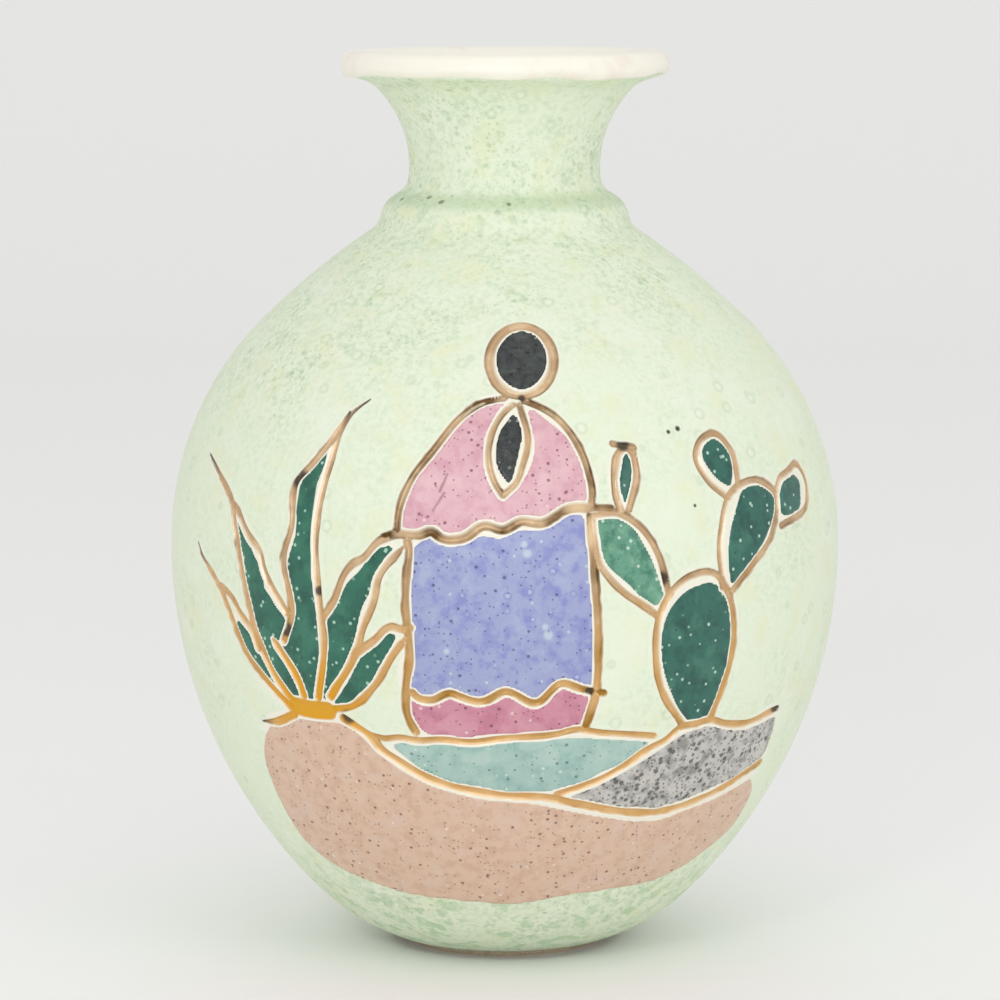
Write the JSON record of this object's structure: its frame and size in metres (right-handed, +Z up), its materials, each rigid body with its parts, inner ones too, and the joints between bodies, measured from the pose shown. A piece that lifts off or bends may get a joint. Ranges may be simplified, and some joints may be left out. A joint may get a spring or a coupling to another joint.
{
  "type": "pottery vase",
  "caption": "Bulbous carved and glazed pottery bottle vase with a collared narrow neck, a flared white lip, and a gold-lined figure, agave and cactus scene on its front.",
  "frame": {"origin": "centre of the foot, on the surface the vase stands on", "axes": "+Z up along the vase's axis, the carved scene faces -Y, +X to the right as the scene is looked at"},
  "size_m": [0.1716, 0.172, 0.23],
  "materials": {
    "gold_lustre": "fired gold lustre in carved grooves, worn and pooled, semi-gloss",
    "agave_green_glaze": "deep green glossy glaze with fine white specks",
    "cactus_green_glaze": "deep bluish green glossy glaze, mottled",
    "black_glaze": "near black glossy glaze, pitted",
    "pink_glaze": "soft pink glaze, pitted",
    "blue_glaze": "periwinkle blue glaze, blotched and pitted",
    "teal_glaze": "milky teal glaze, pitted",
    "grey_glaze": "warm grey glaze, heavily pitted",
    "rose_glaze": "pale rose earth glaze with dark pinpricks",
    "pale_green_glaze": "pale celadon satin glaze, mottled, pitted, with small bubble rings",
    "white_glaze": "thick white gloss glaze",
    "fired_clay": "bare fired clay, matt"
  },
  "bodies": {
    "root": {"agave_leaf_1": "agave_green_glaze", "agave_leaf_2": "agave_green_glaze", "agave_leaf_3": "agave_green_glaze", "agave_leaf_4": "agave_green_glaze", "agave_leaf_5": "agave_green_glaze", "belly_wall": "fired_clay", "braid": "black_glaze", "cactus_pad_1": "cactus_green_glaze", "cactus_pad_2": "cactus_green_glaze", "cactus_pad_3": "cactus_green_glaze", "cactus_pad_4": "cactus_green_glaze", "cactus_pad_5": "cactus_green_glaze", "cactus_pad_6": "cactus_green_glaze", "foot_ring": "fired_clay", "gold_agave_lines": "gold_lustre", "gold_braid_lines": "gold_lustre", "gold_cactus_lines": "gold_lustre", "gold_head_ring": "gold_lustre", "gold_hem_line": "gold_lustre", "gold_mountain_line": "gold_lustre", "gold_shawl_lines": "gold_lustre", "gold_shore_line": "gold_lustre", "gold_skirt_lines": "gold_lustre", "gold_valley_line": "gold_lustre", "gold_waist_line": "gold_lustre", "green_coat": "pale_green_glaze", "ground": "rose_glaze", "hair": "black_glaze", "hem": "pink_glaze", "lip_band": "white_glaze", "mountain": "grey_glaze", "neck_wall": "fired_clay", "pond": "teal_glaze", "shawl": "pink_glaze", "skirt": "blue_glaze", "white_liner": "white_glaze"}
  },
  "joints": []
}
